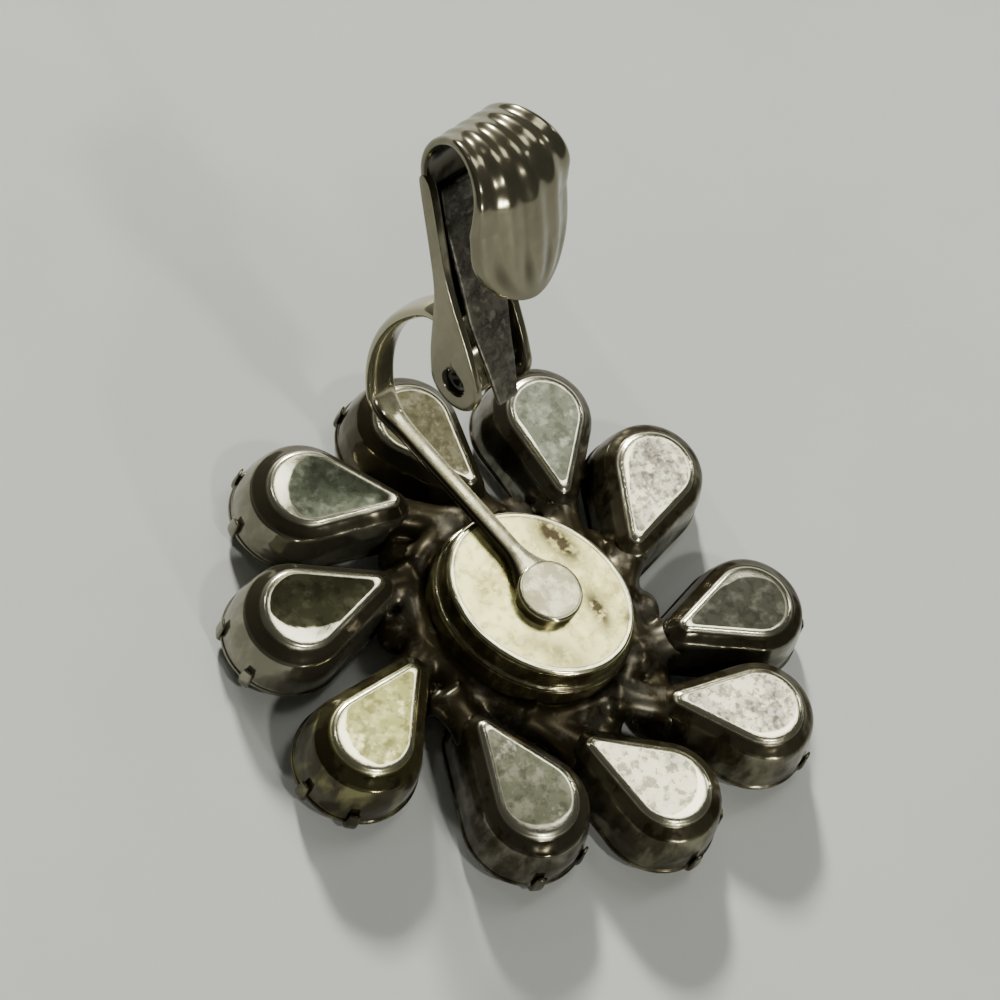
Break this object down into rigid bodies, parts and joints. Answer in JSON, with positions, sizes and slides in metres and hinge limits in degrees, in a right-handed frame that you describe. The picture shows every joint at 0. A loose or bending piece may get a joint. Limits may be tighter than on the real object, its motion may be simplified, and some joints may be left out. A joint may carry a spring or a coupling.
{
  "type": "clip-on earring",
  "caption": "Clip-on earring with pear-shaped crystals in cups round an oval crystal, and a hinged clip on its back.",
  "frame": {"origin": "middle of the oval crystal's table, on the plane of all the tables, which the earring rests on", "axes": "+Z from the crystals' tables to the back, where the clip is; +Y from the oval's middle along the clip's arm to the hinge; +X along the hinge's axis"},
  "size_m": [0.0346, 0.0352, 0.0341],
  "materials": {
    "setting_metal": "worn silver-coloured plate with grey-green tarnish on the flat backs",
    "clip_metal": "worn polished plate, slightly warm",
    "leaf_metal": "dull spring steel",
    "crystal": "clear cut crystal"
  },
  "bodies": {
    "flower": {"setting": "setting_metal", "centre_stone": "crystal", "petal_stone_01": "crystal", "petal_stone_02": "crystal", "petal_stone_03": "crystal", "petal_stone_04": "crystal", "petal_stone_05": "crystal", "petal_stone_06": "crystal", "petal_stone_07": "crystal", "petal_stone_08": "crystal", "petal_stone_09": "crystal", "petal_stone_10": "crystal"},
    "clip": {"paddle": "clip_metal", "spring_leaf": "leaf_metal", "hinge_pin": "clip_metal"}
  },
  "joints": [
    {"name": "paddle_hinge", "type": "hinge", "parent": "flower", "child": "clip", "pos_m": [0, 0.0101, 0.0181], "axis": [1, 0, 0], "range_deg": [0, 140]}
  ]
}
